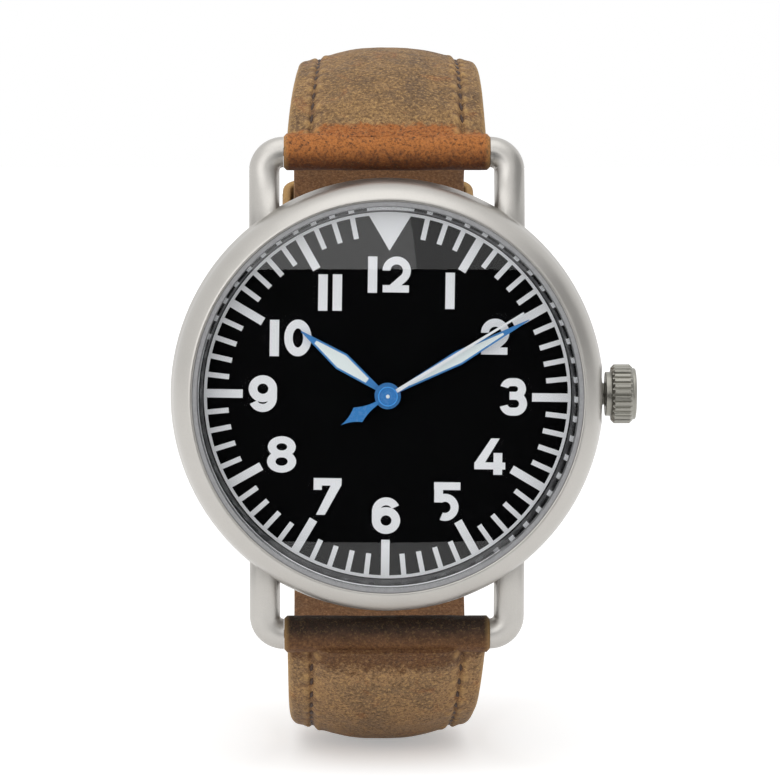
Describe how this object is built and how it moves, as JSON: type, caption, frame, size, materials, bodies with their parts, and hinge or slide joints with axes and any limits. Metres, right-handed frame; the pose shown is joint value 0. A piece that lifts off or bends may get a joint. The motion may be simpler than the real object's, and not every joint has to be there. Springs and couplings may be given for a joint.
{
  "type": "wristwatch",
  "caption": "Round steel pilot wristwatch with wire lugs, domed crystal, sword hands, knurled crown and a padded leather strap closed by a pin buckle; the movement's wheels turn in mesh.",
  "frame": {"origin": "centre of the case back's outer face", "axes": "+X to 3 o'clock along the crown's stem, +Z to 12 o'clock, +Y out of the case back to the wrist, so the dial faces -Y"},
  "size_m": [0.0453, 0.0671, 0.0705],
  "materials": {
    "case_steel": "bead blasted, warm grey",
    "bezel_steel": "bead blasted, slightly brighter",
    "crown_steel": "satin",
    "neck_steel": "turned, darker",
    "crystal_glass": "clear, polished",
    "gasket_grey": "grey polymer",
    "gasket_black": "black",
    "rehaut_black": "polished, dark",
    "dial_black": "black lacquer with white printing",
    "hand_blue": "blued",
    "seconds_white": "white blade, blue hub and counterweight",
    "lume_white": "white filling",
    "holder_plastic": "moulded",
    "plate_brass": "gilt",
    "bridge_steel": "stamped",
    "screw_steel": "bright",
    "cell_steel": "cell can",
    "coil_copper": "enamelled winding",
    "core_steel": "soft magnetic strip",
    "board_green": "circuit board",
    "gear_brass": "gilt teeth",
    "gear_steel": "cut steel",
    "magnet_grey": "magnet on an arbor",
    "leather_upper": "distressed brown, waxed edges",
    "leather_lining": "smooth brown",
    "leather_keeper": "brown",
    "bar_steel": "spring bars",
    "buckle_steel": "satin"
  },
  "bodies": {
    "case": {"case_middle": "case_steel", "bezel": "bezel_steel", "crystal": "crystal_glass", "crystal_gasket": "gasket_grey", "rehaut_ring": "rehaut_black", "dial": "dial_black", "case_back": "case_steel", "case_back_gasket": "gasket_black", "crown_tube": "neck_steel", "movement_holder": "holder_plastic", "main_plate": "plate_brass", "train_bridge": "bridge_steel", "bridge_screws": "screw_steel", "battery": "cell_steel", "circuit_board": "board_green", "quartz_can": "cell_steel", "coil_winding": "coil_copper", "coil_core": "core_steel", "stator": "core_steel", "strap_short_upper": "leather_upper", "strap_short_lining": "leather_lining", "strap_long_upper": "leather_upper", "strap_long_lining": "leather_lining", "spring_bar_upper": "bar_steel", "spring_bar_lower": "bar_steel", "fixed_keeper": "leather_keeper", "buckle_pin": "bar_steel"},
    "seconds": {"seconds_wheel": "gear_steel", "seconds_hand": "seconds_white"},
    "third": {"third_wheel": "gear_brass"},
    "centre": {"centre_wheel": "gear_brass"},
    "intermediate": {"intermediate_wheel": "gear_brass"},
    "rotor": {"rotor": "magnet_grey"},
    "minute": {"cannon_pinion": "gear_steel", "minute_hand": "hand_blue", "minute_hand_filling": "lume_white"},
    "minute_wheel": {"minute_wheel": "gear_brass"},
    "setting_wheel": {"setting_wheel": "gear_steel"},
    "hour": {"hour_wheel": "gear_brass", "hour_hand": "hand_blue", "hour_hand_filling": "lume_white"},
    "clutch": {"clutch_pinion": "gear_steel"},
    "crown": {"crown": "crown_steel", "stem": "gear_steel", "crown_gasket": "gasket_black"},
    "setting_lever": {"setting_lever": "bridge_steel"},
    "buckle_frame": {"buckle_frame": "buckle_steel"},
    "buckle_tang": {"buckle_tang": "buckle_steel"},
    "floating_keeper": {"floating_keeper": "leather_keeper"}
  },
  "joints": [
    {"name": "seconds_turn", "type": "hinge", "parent": "case", "child": "seconds", "pos_m": [0, -0.004, 0], "axis": [0, 1, 0], "continuous": true},
    {"name": "third_turn", "type": "hinge", "parent": "case", "child": "third", "pos_m": [-0.00099, -0.0035, -0.00273], "axis": [0, 1, 0], "continuous": true},
    {"name": "centre_turn", "type": "hinge", "parent": "case", "child": "centre", "pos_m": [0, -0.0046, 0], "axis": [0, 1, 0], "continuous": true},
    {"name": "intermediate_turn", "type": "hinge", "parent": "case", "child": "intermediate", "pos_m": [-0.00145, -0.0035, 0.00251], "axis": [0, 1, 0], "continuous": true},
    {"name": "rotor_turn", "type": "hinge", "parent": "case", "child": "rotor", "pos_m": [-0.00338, -0.0035, 0.00413], "axis": [0, 1, 0], "continuous": true},
    {"name": "minute_turn", "type": "hinge", "parent": "case", "child": "minute", "pos_m": [0, -0.006, 0], "axis": [0, 1, 0], "continuous": true},
    {"name": "minute_wheel_turn", "type": "hinge", "parent": "case", "child": "minute_wheel", "pos_m": [0.0024, -0.0053, 0], "axis": [0, 1, 0], "continuous": true},
    {"name": "setting_wheel_turn", "type": "hinge", "parent": "case", "child": "setting_wheel", "pos_m": [0.0054, -0.0052, 0], "axis": [0, 1, 0], "continuous": true},
    {"name": "hour_turn", "type": "hinge", "parent": "case", "child": "hour", "pos_m": [0, -0.0062, 0], "axis": [0, 1, 0], "continuous": true},
    {"name": "crown_turn", "type": "hinge", "parent": "case", "child": "clutch", "pos_m": [0.0076, -0.004, 0], "axis": [1, 0, 0], "continuous": true},
    {"name": "crown_pull", "type": "slide", "parent": "clutch", "child": "crown", "axis": [1, 0, 0], "range_m": [0, 0.0009]},
    {"name": "setting_lever_swing", "type": "hinge", "parent": "case", "child": "setting_lever", "pos_m": [0.0096, -0.004, 0.003], "axis": [0, -1, 0], "range_deg": [0, 19.1]},
    {"name": "buckle_swing", "type": "hinge", "parent": "case", "child": "buckle_frame", "pos_m": [0, 0.05037, -0.0045], "axis": [1, 0, 0], "range_deg": [0, 6]},
    {"name": "tang_swing", "type": "hinge", "parent": "buckle_frame", "child": "buckle_tang", "pos_m": [0, 0.05037, -0.0045], "axis": [1, 0, 0], "range_deg": [0, 6]},
    {"name": "keeper_slide", "type": "hinge", "parent": "case", "child": "floating_keeper", "pos_m": [0, 0.018, -0.0011], "axis": [1, 0, 0], "range_deg": [-12, 16]}
  ],
  "couplings": [
    {"joint": "third_turn", "follows": "seconds_turn", "ratio": -0.13333},
    {"joint": "centre_turn", "follows": "seconds_turn", "ratio": 0.016667},
    {"joint": "intermediate_turn", "follows": "seconds_turn", "ratio": -5},
    {"joint": "rotor_turn", "follows": "seconds_turn", "ratio": 30},
    {"joint": "minute_wheel_turn", "follows": "minute_turn", "ratio": -0.33333},
    {"joint": "setting_wheel_turn", "follows": "minute_turn", "ratio": 0.5},
    {"joint": "hour_turn", "follows": "minute_turn", "ratio": 0.083333},
    {"joint": "setting_lever_swing", "follows": "crown_pull", "rad_per_m": 368.5}
  ]
}
